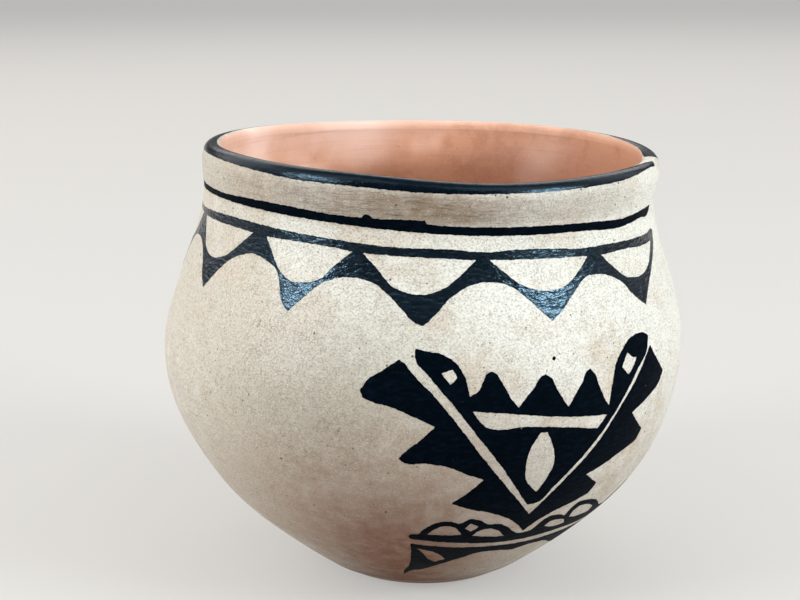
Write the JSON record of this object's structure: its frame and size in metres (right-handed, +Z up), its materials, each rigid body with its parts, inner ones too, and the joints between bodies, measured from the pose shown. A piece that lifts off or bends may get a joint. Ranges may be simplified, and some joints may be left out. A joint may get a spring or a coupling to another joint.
{
  "type": "clay pot",
  "caption": "Hand-built round-bellied clay pot with a wide open mouth, a low neck with a soft rolled lip and a small flat foot, for holding small goods or standing on a shelf.",
  "frame": {"origin": "centre of the flat foot, on the surface that the pot stands on", "axes": "+Z up through the mouth, -Y towards the side that carries most of the painted figure, +X to its right"},
  "size_m": [0.1149, 0.115, 0.0962],
  "materials": {
    "clay": "bare fired clay, orange to terracotta, wiped smooth, dull with a faint polish inside the mouth",
    "slip": "cream slip, rubbed to a soft sheen, speckled with fine dark grains, with a black painted lip, lines, points and figures"
  },
  "bodies": {
    "root": {"moulded_base": "clay", "wall_coil_1": "clay", "wall_coil_2": "clay", "wall_coil_3": "clay", "wall_coil_4": "clay", "wall_coil_5": "clay", "wall_coil_6": "clay", "wall_coil_7": "clay", "rim_coil": "clay", "slip_coat": "slip"}
  },
  "joints": []
}
